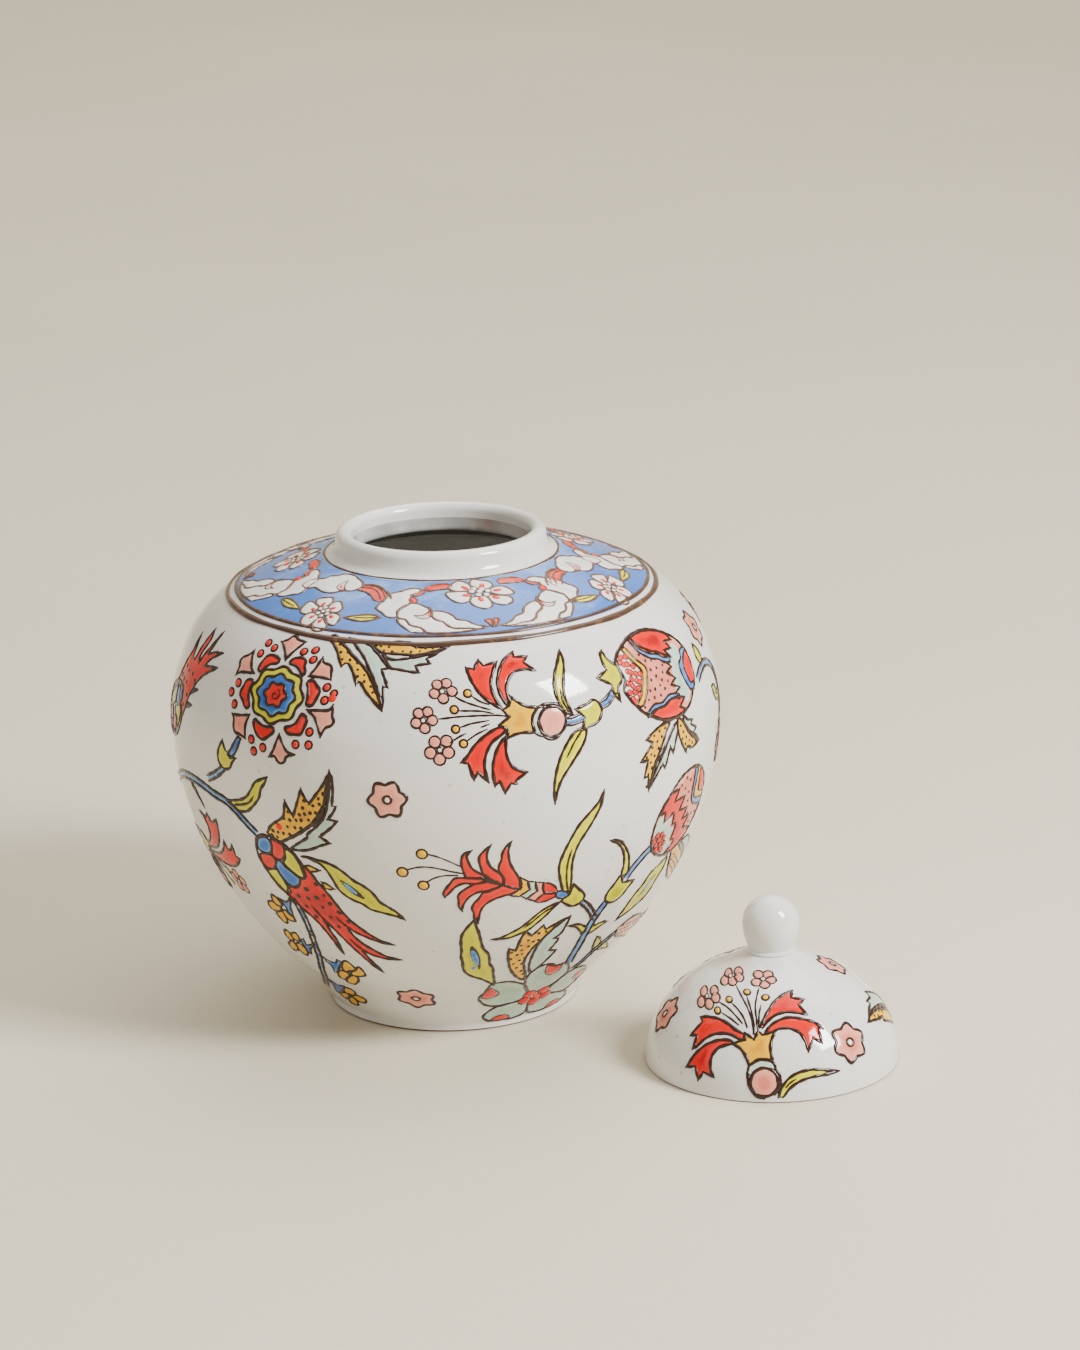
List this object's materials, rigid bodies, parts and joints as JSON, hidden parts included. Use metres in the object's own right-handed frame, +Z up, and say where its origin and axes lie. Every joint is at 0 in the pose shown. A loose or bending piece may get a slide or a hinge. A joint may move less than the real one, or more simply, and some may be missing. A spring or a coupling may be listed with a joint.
{
  "type": "ginger jar",
  "caption": "Round-shouldered lidded jar on a narrow foot with a short flared collar, its domed cap lid with a ball knob standing beside it.",
  "frame": {"origin": "centre of the jar's standing face, on the jar's axis; the lid's rim stands in the same plane", "axes": "+Z up along the jar's axis, -Y towards the front, where the trumpet flower of the painting is, +X to the right"},
  "size_m": [0.2848, 0.2426, 0.1954],
  "materials": {
    "jar_glaze": "glossy white glaze with painted and raised enamel",
    "lid_glaze": "glossy white glaze with painted and raised enamel",
    "knob_glaze": "plain glossy white glaze"
  },
  "bodies": {
    "jar": {"jar_body": "jar_glaze"},
    "lid": {"lid_shell": "lid_glaze", "lid_knob": "knob_glaze"}
  },
  "joints": [
    {"name": "lid_lift", "type": "slide", "parent": "jar", "child": "lid", "axis": [0.4167, -0.2763, 0.866], "range_m": [0, 0.3]}
  ]
}
